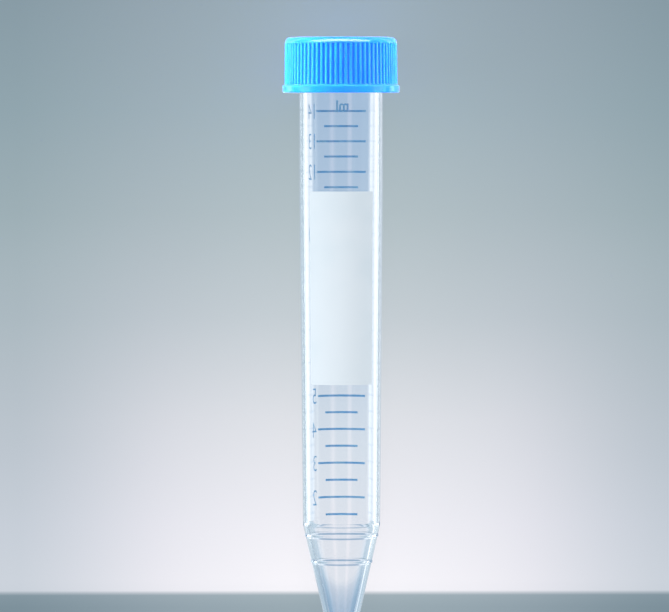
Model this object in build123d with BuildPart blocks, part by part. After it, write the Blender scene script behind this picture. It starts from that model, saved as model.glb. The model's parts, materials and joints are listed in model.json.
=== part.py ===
"""Conical sample tube of 15 ml with a screw cap, lying on a flat surface.

Every piece is drawn in the plane of the tube's own axis: the radius runs along the sketch's x,
and the height above the tip along its y. That axis leans up towards the cap, because the tube
lies on the cap's flange and on the shoulder where its body meets the cone.
Row frame: +Z up, +Y towards the cap, origin under the middle of the lying tube. Millimetres.
"""

import os
from math import asin, atan2, cos, degrees, hypot, pi, sin, tan

from build123d import *

# Outside of the tube, heights measured along its axis from the tip
tube_length = 117.6
tip_radius = 3.25
shoulder_height = 22.3
shoulder_radius = 7.72
shoulder_rounding = 2.5
neck_radius = 8.3
neck_below_cap = 19.5
finish_draft = 0.08
rim_rounding = 0.25

# Inside of the tube
bore_tip_radius = 2.1
bore_shoulder_height = 23.0
bore_shoulder_radius = 6.74
bore_rim_radius = 7.33

# Rings moulded on the cone at whole parts of a millilitre
ring_volumes_ml = (0.5, 1.0)
ring_section_radius = 0.35
ring_stand_out = 0.14

# Screw thread, shared by neck and cap
thread_pitch = 3.0
thread_turns = 1.5
thread_depth = 0.82
thread_root_width = 1.5
thread_crest_width = 0.7
thread_bite = 0.12
thread_radial_gap = 0.3
thread_flank_gap = 0.1
thread_above_cap_edge = 2.4

# Cap, heights measured from its lower edge
cap_height = 11.1
cap_roof = 1.4
cap_top_radius = 11.17
cap_top_rounding = 1.15
cap_edge_rounding = 0.3
cap_mouth_chamfer = 0.3
flange_radius = 11.68
flange_height = 1.35
flange_ledge_rise = 0.5
flange_ledge_rounding = 0.15
rib_count = 72
rib_section_radius = 0.36
rib_stand_out = 0.29
rib_draft = 0.12
rib_end_slope = 0.3
rib_overlap = 0.1

# Seal in the cap's roof
seal_thickness = 1.0
seal_edge_gap = 0.3
seal_chamfer = 0.15

# Printing
ink_thickness = 0.03
panel_low = 50.8
panel_high = 89.3
panel_half_angle = 49.0
scale_first_ml = 1.5
scale_last_ml = 14.0
scale_step_ml = 0.5
scale_line_width = 0.36
long_line_half_angle = 43.0
short_line_half_angle = 27.5

# Heights that follow from the stack of rim, seal and roof
cap_ceiling = tube_length + seal_thickness
cap_top = cap_ceiling + cap_roof
cap_edge = cap_top - cap_height
neck_foot = cap_edge - neck_below_cap
rim_radius = neck_radius - finish_draft


def tangent_slope(ball_radius, height, radius):
    """Angle to the axis of the line from a wall's point that touches the tip's round end."""
    rise = height - tip_radius
    return atan2(radius, rise) - asin(ball_radius / hypot(rise, radius))


cone_slope = tangent_slope(tip_radius, shoulder_height, shoulder_radius)
bore_cone_slope = tangent_slope(bore_tip_radius, bore_shoulder_height, bore_shoulder_radius)
body_slope = atan2(neck_radius - shoulder_radius, neck_foot - shoulder_height)


def body_radius(height):
    """Outside radius of the tapered body and of the straight neck above it."""
    return shoulder_radius + (min(height, neck_foot) - shoulder_height) * tan(body_slope)


def cone_radius(height):
    """Outside radius of the cone."""
    return shoulder_radius - (shoulder_height - height) * tan(cone_slope)


# What the bore's round end and cone hold, as cubic millimetres
round_end_radius = bore_tip_radius * cos(bore_cone_slope)
round_end_height = tip_radius - bore_tip_radius * sin(bore_cone_slope)
round_end_depth = bore_tip_radius - bore_tip_radius * sin(bore_cone_slope)
round_end_volume = pi * round_end_depth**2 * (bore_tip_radius - round_end_depth / 3)
cone_taper = tan(bore_cone_slope)
cone_volume = pi * (bore_shoulder_radius**3 - round_end_radius**3) / (3 * cone_taper)
body_taper = (bore_rim_radius - bore_shoulder_radius) / (tube_length - bore_shoulder_height)


def fill_height(volume_ml):
    """Height of the liquid's surface when the upright tube holds this volume."""
    in_cone = 1000 * volume_ml - round_end_volume
    if in_cone < cone_volume:
        surface_radius = (round_end_radius**3 + 3 * cone_taper * in_cone / pi) ** (1 / 3)
        return round_end_height + (surface_radius - round_end_radius) / cone_taper
    in_body = in_cone - cone_volume
    surface_radius = (bore_shoulder_radius**3 + 3 * body_taper * in_body / pi) ** (1 / 3)
    return bore_shoulder_height + (surface_radius - bore_shoulder_radius) / body_taper


# Resting place: the shoulder's rounding and the flange's rounded lower edge both touch z = 0
shoulder_turn = (cone_slope - body_slope) / 2
shoulder_slope = (cone_slope + body_slope) / 2
rounding_depth = shoulder_rounding / cos(shoulder_turn)
rounding_height = shoulder_height + rounding_depth * sin(shoulder_slope)
rounding_radius = shoulder_radius - rounding_depth * cos(shoulder_slope)
edge_height = cap_edge + cap_edge_rounding
edge_radius = flange_radius - cap_edge_rounding
contact_slope = atan2(edge_radius - rounding_radius, edge_height - rounding_height)
contact_span = hypot(edge_radius - rounding_radius, edge_height - rounding_height)
lean = contact_slope + asin((cap_edge_rounding - shoulder_rounding) / contact_span)
tip_z = shoulder_rounding + rounding_radius * cos(lean) - rounding_height * sin(lean)

# The row's middle along Y, from the two ends of the lying tube
tip_end = tip_radius * cos(lean) - tip_radius
top_ring_height = cap_top - cap_top_rounding
top_ring_radius = cap_top_radius - cap_top_rounding
top_end = top_ring_height * cos(lean) + top_ring_radius * sin(lean) + cap_top_rounding
tip_y = -(tip_end + top_end) / 2

# The tube's axis, the frame along it, and the plane in which profiles are drawn
along = (0, cos(lean), sin(lean))
axis_frame = Plane(origin=(0, tip_y, tip_z), x_dir=(1, 0, 0), z_dir=along)
profile_plane = Plane(origin=(0, tip_y, tip_z), x_dir=(1, 0, 0), z_dir=(0, -sin(lean), cos(lean)))
tube_axis = Axis((0, tip_y, tip_z), along)
upper_side = -90
under_side = 90


def thread_ridge(root_radius, crest_radius, start_height):
    """Helical ridge that tapers from its root to its crest and bites into the wall behind it."""
    outward = 1 if crest_radius > root_radius else -1
    bite = -outward * thread_bite
    crest = crest_radius - root_radius
    centre = axis_frame.from_local_coords((0, 0, start_height))
    with BuildPart() as ridge:
        with BuildLine() as guide:
            Helix(thread_pitch, thread_turns * thread_pitch, root_radius, centre, along)
        start = guide.line @ 0
        with BuildSketch(Plane(origin=start, x_dir=start - centre, z_dir=guide.line % 0)):
            with BuildLine():
                Polyline(
                    (bite, -thread_root_width / 2),
                    (crest, -thread_crest_width / 2),
                    (crest, thread_crest_width / 2),
                    (bite, thread_root_width / 2),
                    close=True,
                )
            make_face()
        sweep(path=guide.line, is_frenet=True)
    return ridge.part


def ink_film(low, high, side, half_angle):
    """Film of ink on the body between two heights, to either side of an angle about the axis."""
    heights = sorted({low, min(max(low, neck_foot), high), high})
    back = [(body_radius(height), height) for height in heights]
    front = [(radius + ink_thickness, height) for radius, height in reversed(back)]
    with BuildPart() as film:
        with BuildSketch(Plane(profile_plane.location * Rotation(0, side - half_angle, 0))):
            with BuildLine():
                Polyline(*back, *front, close=True)
            make_face()
        revolve(axis=tube_axis, revolution_arc=2 * half_angle)
    return film.part


os.makedirs("parts", exist_ok=True)

# Tube
neck_thread_start = cap_edge + thread_above_cap_edge
neck_crest_radius = neck_radius + thread_depth
neck_thread = thread_ridge(neck_radius, neck_crest_radius, neck_thread_start)

with BuildPart() as tube:
    with BuildSketch(profile_plane) as tube_profile:
        with BuildLine():
            CenterArc((0, tip_radius), tip_radius, -90, 90 - degrees(cone_slope))
            Polyline(
                (tip_radius * cos(cone_slope), tip_radius - tip_radius * sin(cone_slope)),
                (shoulder_radius, shoulder_height),
                (neck_radius, neck_foot),
                (neck_radius, cap_edge),
                (rim_radius, tube_length),
                (bore_rim_radius, tube_length),
                (bore_shoulder_radius, bore_shoulder_height),
                (round_end_radius, round_end_height),
            )
            CenterArc((0, tip_radius), bore_tip_radius, -90, 90 - degrees(bore_cone_slope))
            Line((0, tip_radius - bore_tip_radius), (0, 0))
        make_face()
        corners = tube_profile.vertices()
        fillet(corners.sort_by_distance((shoulder_radius, shoulder_height))[0], shoulder_rounding)
        rim_corners = corners.sort_by_distance(((rim_radius + bore_rim_radius) / 2, tube_length))
        fillet(rim_corners[:2], rim_rounding)
        ring_depth = ring_section_radius - ring_stand_out
        for ring_volume in ring_volumes_ml:
            ring_height = fill_height(ring_volume)
            ring_radius = cone_radius(ring_height) - ring_depth * cos(cone_slope)
            with Locations((ring_radius, ring_height + ring_depth * sin(cone_slope))):
                Circle(ring_section_radius)
    revolve(axis=tube_axis)
    add(neck_thread)
tube.part.label = "tube"
export_step(tube.part, "parts/tube.step")

# Cap
cap_bore_radius = neck_crest_radius + thread_radial_gap
cap_crest_radius = neck_radius + thread_radial_gap
flank_slope = (thread_root_width - thread_crest_width) / 2 / thread_depth
flank_reach = (thread_root_width + thread_crest_width) / 2 - flank_slope * thread_radial_gap
cap_thread_start = neck_thread_start - flank_reach - thread_flank_gap
cap_thread = thread_ridge(cap_bore_radius, cap_crest_radius, cap_thread_start)

ribs_top = cap_top - cap_top_rounding
ribs_foot = cap_edge + flange_height
rib_root_radius = cap_top_radius - rib_stand_out
rib_foot_radius = rib_root_radius + rib_draft
rib_length = ribs_top + rib_overlap - ribs_foot
rib_axis_radius = cap_top_radius + rib_draft - rib_section_radius
rib_tilt = -degrees(atan2(rib_draft, rib_length - rib_overlap))

with BuildPart(axis_frame.offset(ribs_foot)) as cap_ribs:
    with PolarLocations(rib_axis_radius, rib_count):
        Cylinder(
            rib_section_radius,
            rib_length,
            rotation=(0, rib_tilt, 0),
            align=(Align.CENTER, Align.CENTER, Align.MIN),
        )

with BuildPart() as cap:
    with BuildSketch(profile_plane) as cap_profile:
        with BuildLine():
            Polyline(
                (0, cap_ceiling),
                (cap_bore_radius, cap_ceiling),
                (cap_bore_radius, cap_edge + cap_mouth_chamfer),
                (cap_bore_radius + cap_mouth_chamfer, cap_edge),
                (flange_radius, cap_edge),
                (flange_radius, cap_edge + flange_height),
                (rib_foot_radius, cap_edge + flange_height + flange_ledge_rise),
                (rib_root_radius, ribs_top - rib_end_slope),
                (cap_top_radius, ribs_top),
            )
            CenterArc((top_ring_radius, ribs_top), cap_top_rounding, 0, 90)
            Polyline((top_ring_radius, cap_top), (0, cap_top), (0, cap_ceiling))
        make_face()
        corners = cap_profile.vertices()
        fillet(corners.sort_by_distance((flange_radius, cap_edge))[0], cap_edge_rounding)
        ledge = corners.sort_by_distance((flange_radius, cap_edge + flange_height))[0]
        fillet(ledge, flange_ledge_rounding)
    revolve(axis=tube_axis)
    add(cap_ribs.part)
    add(cap_thread)
cap.part.label = "cap"
export_step(cap.part, "parts/cap.step")

# Seal
with BuildPart(axis_frame.offset(tube_length)) as cap_seal:
    Cylinder(
        cap_bore_radius - seal_edge_gap,
        seal_thickness,
        align=(Align.CENTER, Align.CENTER, Align.MIN),
    )
    chamfer(cap_seal.edges().filter_by(GeomType.CIRCLE), seal_chamfer)
cap_seal.part.label = "cap_seal"
export_step(cap_seal.part, "parts/cap_seal.step")

# Writing panel
writing_panel = ink_film(panel_low, panel_high, upper_side, panel_half_angle)
writing_panel.label = "writing_panel"
export_step(writing_panel, "parts/writing_panel.step")

# Scale lines, a long one at each whole millilitre
with BuildPart() as scale_lines:
    for step in range(round((scale_last_ml - scale_first_ml) / scale_step_ml) + 1):
        volume = scale_first_ml + step * scale_step_ml
        line_height = fill_height(volume)
        whole = volume == round(volume)
        line_half_angle = long_line_half_angle if whole else short_line_half_angle
        low, high = line_height - scale_line_width / 2, line_height + scale_line_width / 2
        add(ink_film(low, high, under_side, line_half_angle))
scale_lines.part.label = "scale_lines"
export_step(scale_lines.part, "parts/scale_lines.step")
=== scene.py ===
"""Looks of a 15 ml conical sample tube: clear wall, printing, ribbed blue cap and its studio.

Pieces are modelled on an upright bench, tip at the origin, height along Z and the writing
panel towards -Y, and are then laid down into the place that the row's record gives.
"""

import json
import logging
import math
from collections.abc import Iterator, Sequence
from contextlib import contextmanager
from dataclasses import dataclass, field
from enum import Enum

import bpy
from mathutils import Matrix, Vector

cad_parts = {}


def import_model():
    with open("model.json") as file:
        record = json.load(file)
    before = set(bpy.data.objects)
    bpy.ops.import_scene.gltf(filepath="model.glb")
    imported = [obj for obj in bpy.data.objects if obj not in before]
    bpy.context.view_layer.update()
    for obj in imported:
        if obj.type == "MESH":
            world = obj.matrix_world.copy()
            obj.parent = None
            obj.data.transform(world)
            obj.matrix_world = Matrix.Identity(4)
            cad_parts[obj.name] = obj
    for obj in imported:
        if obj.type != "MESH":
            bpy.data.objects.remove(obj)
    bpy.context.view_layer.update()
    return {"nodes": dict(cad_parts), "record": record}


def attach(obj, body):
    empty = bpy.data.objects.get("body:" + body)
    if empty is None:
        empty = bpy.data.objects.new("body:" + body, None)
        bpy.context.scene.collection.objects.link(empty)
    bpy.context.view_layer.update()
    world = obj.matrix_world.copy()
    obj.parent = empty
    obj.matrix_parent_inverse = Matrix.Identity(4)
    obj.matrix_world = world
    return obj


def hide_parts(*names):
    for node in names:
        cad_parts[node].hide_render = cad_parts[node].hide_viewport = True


LOG = logging.getLogger("conical_tube")
MM = 0.001

Point = tuple[float, float]
Colour = tuple[float, float, float]


class Side(Enum):
    """Side of the tube, as the angle about its axis in degrees from +X."""

    WRITING = -90.0
    SCALE = 90.0


class Finish(Enum):
    """Material slots of the record."""

    CLEAR_WALL = "clear_wall"
    BLUE_CAP = "blue_cap"
    SOFT_SEAL = "soft_seal"
    WHITE_INK = "white_ink"
    BLUE_INK = "blue_ink"


# --- Bench: the few moves that every piece is made with ---


class Bench:
    """Modelling moves shared by the pieces, each on the one object that is in work."""

    MERGE = 1e-7

    @staticmethod
    def clear() -> None:
        """Deselects every object."""
        bpy.ops.object.select_all(action="DESELECT")

    @staticmethod
    def take(piece: bpy.types.Object) -> None:
        """Selects one piece alone and makes it active."""
        Bench.clear()
        piece.select_set(True)
        bpy.context.view_layer.objects.active = piece

    @staticmethod
    def named(piece: bpy.types.Object, name: str) -> bpy.types.Object:
        """Gives a piece and its mesh a name, and gives the piece back."""
        piece.name = piece.data.name = name
        return piece

    @staticmethod
    def freeze(piece: bpy.types.Object) -> None:
        """Leaves a piece's place in its mesh."""
        Bench.take(piece)
        bpy.ops.object.transform_apply(location=True, rotation=True, scale=True)

    @staticmethod
    @contextmanager
    def editing(piece: bpy.types.Object) -> Iterator[None]:
        """Holds a piece in edit mode with everything selected.

        Args:
            piece: the mesh to edit.

        Yields:
            Nothing, while edit mode lasts.
        """
        Bench.take(piece)
        bpy.ops.object.mode_set(mode="EDIT")
        bpy.ops.mesh.select_all(action="SELECT")
        yield
        bpy.ops.object.mode_set(mode="OBJECT")

    @staticmethod
    def apply(piece: bpy.types.Object, kind: str, **settings: object) -> None:
        """Adds a modifier, sets it and applies it.

        Args:
            piece: the mesh that gets it.
            kind: Blender's name for the modifier type.
            **settings: the modifier's own properties.
        """
        Bench.take(piece)
        modifier = piece.modifiers.new(kind.lower(), kind)
        for name, value in settings.items():
            setattr(modifier, name, value)
        bpy.ops.object.modifier_apply(modifier=modifier.name)

    @staticmethod
    def turned(
        name: str,
        outline: Sequence[Point],
        steps: int,
        start: float = 0.0,
        sweep: float = 360.0,
    ) -> bpy.types.Object:
        """Turns an outline about the upright axis.

        Args:
            name: name of the new piece.
            outline: radius and height of each point, in millimetres, in order.
            steps: number of steps in the sweep.
            start: angle about the axis of the first outline, in degrees from +X.
            sweep: angle swept, in degrees, clockwise as seen from above.

        Returns:
            The turned mesh, merged, with its faces made consistent.
        """
        Bench.clear()
        outward = Vector((math.cos(math.radians(start)), math.sin(math.radians(start)), 0.0))
        points = [outward * radius * MM + Vector((0, 0, height * MM)) for radius, height in outline]
        bpy.ops.mesh.primitive_plane_add(size=1.0)
        piece = Bench.named(bpy.context.object, name)
        with Bench.editing(piece):
            bpy.ops.mesh.merge(type="CENTER")
            bpy.ops.transform.translate(value=points[0])
            for here, there in zip(points, points[1:]):
                bpy.ops.mesh.extrude_vertices_move(TRANSFORM_OT_translate={"value": there - here})
            bpy.ops.mesh.select_all(action="SELECT")
            bpy.ops.mesh.spin(
                steps=steps, angle=math.radians(sweep), center=(0, 0, 0), axis=(0, 0, 1)
            )
            bpy.ops.mesh.select_all(action="SELECT")
            bpy.ops.mesh.remove_doubles(threshold=Bench.MERGE)
            bpy.ops.mesh.normals_make_consistent(inside=False)
        return piece

    @staticmethod
    def face_outwards(sheet: bpy.types.Object) -> None:
        """Turns an open sheet's faces away from the upright axis.

        Args:
            sheet: the open mesh.
        """
        face = sheet.data.polygons[0]
        if face.normal.dot(Vector((face.center.x, face.center.y, 0.0))) < 0:
            with Bench.editing(sheet):
                bpy.ops.mesh.flip_normals()

    @staticmethod
    def join(name: str, pieces: Sequence[bpy.types.Object]) -> bpy.types.Object:
        """Joins meshes into one.

        Args:
            name: name of the joined piece.
            pieces: the meshes, at least one.

        Returns:
            The joined mesh.
        """
        Bench.clear()
        for piece in pieces:
            piece.select_set(True)
        bpy.context.view_layer.objects.active = pieces[0]
        bpy.ops.object.join()
        return Bench.named(bpy.context.object, name)

    @staticmethod
    def smooth(piece: bpy.types.Object, angle: float = 30.0) -> None:
        """Shades a piece smooth but for edges that turn by more than an angle in degrees."""
        Bench.take(piece)
        bpy.ops.object.shade_smooth_by_angle(angle=math.radians(angle))


@dataclass(frozen=True)
class Cradle:
    """Where the tube lies in the row: its axis, and the way from the bench to that place."""

    tip: Vector
    along: Vector

    @classmethod
    def from_record(cls, record: dict, height: float) -> "Cradle":
        """Reads the axis from the record.

        Args:
            record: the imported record.
            height: height of the cap's top above the tip, in millimetres.

        Returns:
            The cradle.
        """
        top = next(mount for mount in record["mounts"] if mount["name"] == "cap_top")
        along = Vector(top["axis"]).normalized()
        return cls(Vector(top["pos_m"]) - along * height * MM, along)

    @property
    def across(self) -> Vector:
        """Direction across the tube, which is the row's own X."""
        return Vector((1.0, 0.0, 0.0))

    @property
    def under(self) -> Vector:
        """Direction from the writing panel to the scale, which points down."""
        return self.along.cross(self.across)

    @property
    def matrix(self) -> Matrix:
        """Turns and moves the upright bench into the row."""
        turn = Matrix((self.across, self.under, self.along)).transposed().to_4x4()
        return Matrix.Translation(self.tip) @ turn

    def place(self, point: Sequence[float]) -> Vector:
        """Row position of a point on the bench, in metres."""
        return self.matrix @ Vector(point)

    def lay(self, piece: bpy.types.Object) -> None:
        """Moves an upright piece into the row and leaves its place in its mesh."""
        piece.matrix_world = self.matrix @ piece.matrix_world
        Bench.freeze(piece)


# --- Sizes ---


@dataclass(frozen=True)
class TubeSizes:
    """Sizes of the moulded tube in millimetres, heights measured from its tip."""

    length: float = 117.6
    tip_radius: float = 3.25
    shoulder_height: float = 22.3
    shoulder_radius: float = 7.72
    shoulder_rounding: float = 2.5
    neck_radius: float = 8.3
    neck_foot: float = 89.4
    cap_edge: float = 108.9
    finish_draft: float = 0.08
    rim_rounding: float = 0.25
    bore_tip_radius: float = 2.1
    bore_shoulder_height: float = 23.0
    bore_shoulder_radius: float = 6.74
    bore_rim_radius: float = 7.33
    ring_volumes: tuple[float, ...] = (0.5, 1.0)
    ring_half_width: float = 0.42
    ring_stand_out: float = 0.14
    cap_top: float = 120.0

    @staticmethod
    def slope(ball_radius: float, centre: float, height: float, radius: float) -> float:
        """Angle to the axis of a cone's line that touches a round end.

        Args:
            ball_radius: radius of the round end.
            centre: height of the round end's centre.
            height: height of the cone's wide end.
            radius: radius of the cone's wide end.

        Returns:
            The angle in radians.
        """
        rise = height - centre
        return math.atan2(radius, rise) - math.asin(ball_radius / math.hypot(rise, radius))

    @property
    def cone_slope(self) -> float:
        """Angle of the cone's outside to the axis."""
        return self.slope(
            self.tip_radius, self.tip_radius, self.shoulder_height, self.shoulder_radius
        )

    @property
    def bore_cone_slope(self) -> float:
        """Angle of the cone's inside to the axis."""
        return self.slope(
            self.bore_tip_radius,
            self.tip_radius,
            self.bore_shoulder_height,
            self.bore_shoulder_radius,
        )

    @property
    def body_slope(self) -> float:
        """Angle of the tapered body's outside to the axis."""
        rise = self.neck_foot - self.shoulder_height
        return math.atan2(self.neck_radius - self.shoulder_radius, rise)

    def body_radius(self, height: float) -> float:
        """Outside radius of the tapered body and the straight neck."""
        rise = min(height, self.neck_foot) - self.shoulder_height
        return self.shoulder_radius + rise * math.tan(self.body_slope)

    def cone_radius(self, height: float) -> float:
        """Outside radius of the cone."""
        drop = self.shoulder_height - height
        return self.shoulder_radius - drop * math.tan(self.cone_slope)

    def fill_height(self, volume: float) -> float:
        """Height of the surface when the upright tube holds a volume.

        Args:
            volume: the volume in millilitres, more than the round end holds.

        Returns:
            The height above the tip.
        """
        taper = math.tan(self.bore_cone_slope)
        end_radius = self.bore_tip_radius * math.cos(self.bore_cone_slope)
        drop = self.bore_tip_radius * math.sin(self.bore_cone_slope)
        depth = self.bore_tip_radius - drop
        held = math.pi * depth**2 * (self.bore_tip_radius - depth / 3)
        cone = math.pi * (self.bore_shoulder_radius**3 - end_radius**3) / (3 * taper)
        left = 1000 * volume - held
        if left < cone:
            surface = (end_radius**3 + 3 * taper * left / math.pi) ** (1 / 3)
            return self.tip_radius - drop + (surface - end_radius) / taper
        rise = self.length - self.bore_shoulder_height
        taper = (self.bore_rim_radius - self.bore_shoulder_radius) / rise
        surface = (self.bore_shoulder_radius**3 + 3 * taper * (left - cone) / math.pi) ** (1 / 3)
        return self.bore_shoulder_height + (surface - self.bore_shoulder_radius) / taper


@dataclass(frozen=True)
class ThreadSizes:
    """Sizes of the neck's screw thread in millimetres."""

    pitch: float = 3.0
    turns: float = 1.5
    depth: float = 0.82
    root_width: float = 1.5
    crest_width: float = 0.7
    bite: float = 0.12
    start_height: float = 111.3
    steps_per_turn: int = 96


@dataclass(frozen=True)
class Lettering:
    """Shape of printed letters.

    Their height is in millimetres, their width is a share of the type's own, and the weight is
    how much bolder their strokes are, in type sizes.
    """

    height: float
    narrow: float
    weight: float


@dataclass(frozen=True)
class PrintSizes:
    """Sizes of the printing in millimetres, angles in degrees to either side of its middle.

    The unit's reach is from the scale's middle to the unit's left edge.
    """

    thickness: float = 0.03
    sunk: float = 0.01
    panel_low: float = 50.8
    panel_high: float = 89.3
    panel_half_angle: float = 49.0
    first_ml: float = 1.5
    last_ml: float = 14.0
    step_ml: float = 0.5
    line_width: float = 0.42
    long_half_angle: float = 43.0
    short_half_angle: float = 27.5
    numeral: Lettering = Lettering(3.1, 0.86, -0.012)
    numeral_gap_angle: float = 4.0
    unit: Lettering = Lettering(2.0, 1.1, 0.024)
    unit_rise: float = 0.15
    unit_reach: float = 1.68


# --- Shading ---


class Wiring:
    """Adds nodes to one tree and joins them."""

    def __init__(self, tree: bpy.types.NodeTree) -> None:
        """Starts on a node tree."""
        self.tree = tree

    def node(self, kind: str, *values: object, **settings: object) -> bpy.types.Node:
        """Adds a node.

        Args:
            kind: the node's type.
            *values: what its first inputs get, in order.
            **settings: its own properties.

        Returns:
            The node.
        """
        made = self.tree.nodes.new(kind)
        for name, value in settings.items():
            setattr(made, name, value)
        for socket, value in zip(made.inputs, values):
            self.feed(socket, value)
        return made

    def feed(self, socket: bpy.types.NodeSocket, value: object) -> None:
        """Sets a socket to a number or colour, or joins it to another socket.

        Args:
            socket: the input.
            value: what it gets.
        """
        if isinstance(value, bpy.types.NodeSocket):
            self.tree.links.new(value, socket)
        elif isinstance(value, tuple) and len(value) == 3 and socket.type == "RGBA":
            socket.default_value = (*value, 1.0)
        else:
            socket.default_value = value

    def fill(self, made: bpy.types.Node, **values: object) -> bpy.types.Node:
        """Feeds a node's inputs by their names.

        Args:
            made: the node.
            **values: what its inputs get, with underscores for spaces in their names.

        Returns:
            The node.
        """
        for name, value in values.items():
            self.feed(made.inputs[name.replace("_", " ")], value)
        return made

    def math(self, operation: str, *values: object) -> bpy.types.NodeSocket:
        """Result of a sum on numbers."""
        return self.node("ShaderNodeMath", *values, operation=operation).outputs[0]

    def vector(self, operation: str, *values: object) -> bpy.types.NodeSocket:
        """Result of a sum on vectors, which for a dot product is a number."""
        made = self.node("ShaderNodeVectorMath", *values, operation=operation)
        return made.outputs["Value" if operation == "DOT_PRODUCT" else "Vector"]

    def parts(self, place: object) -> bpy.types.NodeOutputs:
        """X, Y and Z of a vector."""
        return self.node("ShaderNodeSeparateXYZ", place).outputs

    def blend(
        self, share: object, first: object, second: object, kind: str = "MIX"
    ) -> bpy.types.NodeSocket:
        """Mixes two colours.

        Args:
            share: how much of the second colour, from 0 to 1.
            first: the colour at 0.
            second: the colour at 1, or what the first is multiplied by there.
            kind: MIX or MULTIPLY.

        Returns:
            The mixed colour.
        """
        made = self.node("ShaderNodeMix", data_type="RGBA", blend_type=kind)
        self.feed(made.inputs["Factor"], share)
        self.feed(made.inputs[6], first)
        self.feed(made.inputs[7], second)
        return made.outputs[2]

    def product(self, first: object, second: object) -> bpy.types.NodeSocket:
        """Multiplies two colours."""
        return self.blend(1.0, first, second, kind="MULTIPLY")

    def flat(self, kind: str, colour: object) -> bpy.types.NodeSocket:
        """Shader of a type that has a colour alone."""
        return self.fill(self.node(kind), Color=colour).outputs[0]

    def mix_shaders(self, share: object, first: object, second: object) -> bpy.types.NodeSocket:
        """Mixes two shaders, the first at a share of 0 and the second at 1."""
        return self.node("ShaderNodeMixShader", share, first, second).outputs[0]

    def steps(
        self, value: object, low: float, high: float, smooth: bool = True
    ) -> bpy.types.NodeSocket:
        """Maps a value to 0 at low and 1 at high.

        Args:
            value: the value.
            low: where the result is 0.
            high: where the result is 1.
            smooth: whether it eases in and out.

        Returns:
            The mapped value.
        """
        kind = "SMOOTHSTEP" if smooth else "LINEAR"
        made = self.node("ShaderNodeMapRange", value, low, high, interpolation_type=kind)
        return made.outputs["Result"]

    def ramp(self, value: object, stops: Sequence[tuple[float, Colour]]) -> bpy.types.NodeSocket:
        """Adds a colour ramp.

        Args:
            value: the value, from 0 to 1.
            stops: position and colour of each stop.

        Returns:
            The colour.
        """
        made = self.node("ShaderNodeValToRGB", value)
        elements = made.color_ramp.elements
        while len(elements) < len(stops):
            elements.new(0.5)
        for element, (position, colour) in zip(elements, stops):
            element.position = position
            element.color = (*colour, 1.0)
        return made.outputs["Color"]


@dataclass(frozen=True)
class Socket:
    """A named socket of a node group."""

    name: str
    kind: str
    value: float | None = None


@dataclass(frozen=True)
class Effect:
    """A shader effect kept as a node group and placed in several finishes."""

    name: str
    inputs: tuple[Socket, ...]
    outputs: tuple[Socket, ...]

    def wire(self, work: Wiring, given: bpy.types.Node, result: bpy.types.Node) -> None:
        """Builds the effect between the group's input and output nodes."""
        raise NotImplementedError

    def group(self) -> bpy.types.NodeTree:
        """Finds the group, or builds it once.

        Returns:
            The node group.
        """
        found = bpy.data.node_groups.get(self.name)
        if found:
            return found
        tree = bpy.data.node_groups.new(self.name, "ShaderNodeTree")
        for way, sockets in (("INPUT", self.inputs), ("OUTPUT", self.outputs)):
            for socket in sockets:
                made = tree.interface.new_socket(socket.name, in_out=way, socket_type=socket.kind)
                if socket.value is not None:
                    made.default_value = socket.value
        work = Wiring(tree)
        self.wire(work, work.node("NodeGroupInput"), work.node("NodeGroupOutput"))
        return tree

    def placed(self, work: Wiring, **values: object) -> bpy.types.Node:
        """Places the effect in a finish, its inputs named with underscores for spaces."""
        return work.fill(work.node("ShaderNodeGroup", node_tree=self.group()), **values)


FLOAT, VECTOR = "NodeSocketFloat", "NodeSocketVector"


@dataclass(frozen=True)
class MouldGrain(Effect):
    """Fine grain and slow drift that moulded and printed surfaces carry."""

    name: str = "mould_grain"
    inputs: tuple[Socket, ...] = (
        Socket("Vector", VECTOR),
        Socket("Fine Scale", FLOAT, 2500.0),
        Socket("Drift Scale", FLOAT, 120.0),
    )
    outputs: tuple[Socket, ...] = (Socket("Fine", FLOAT), Socket("Drift", FLOAT))

    def wire(self, work: Wiring, given: bpy.types.Node, result: bpy.types.Node) -> None:
        """Builds two noises of different size.

        Args:
            work: the group's wiring.
            given: its input node.
            result: its output node.
        """
        place = given.outputs["Vector"]
        for size, detail, out in (("Fine Scale", 3.0, "Fine"), ("Drift Scale", 2.0, "Drift")):
            noise = work.node("ShaderNodeTexNoise")
            work.fill(noise, Vector=place, Scale=given.outputs[size], Detail=detail)
            work.feed(result.inputs[out], noise.outputs["Fac"])


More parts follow.
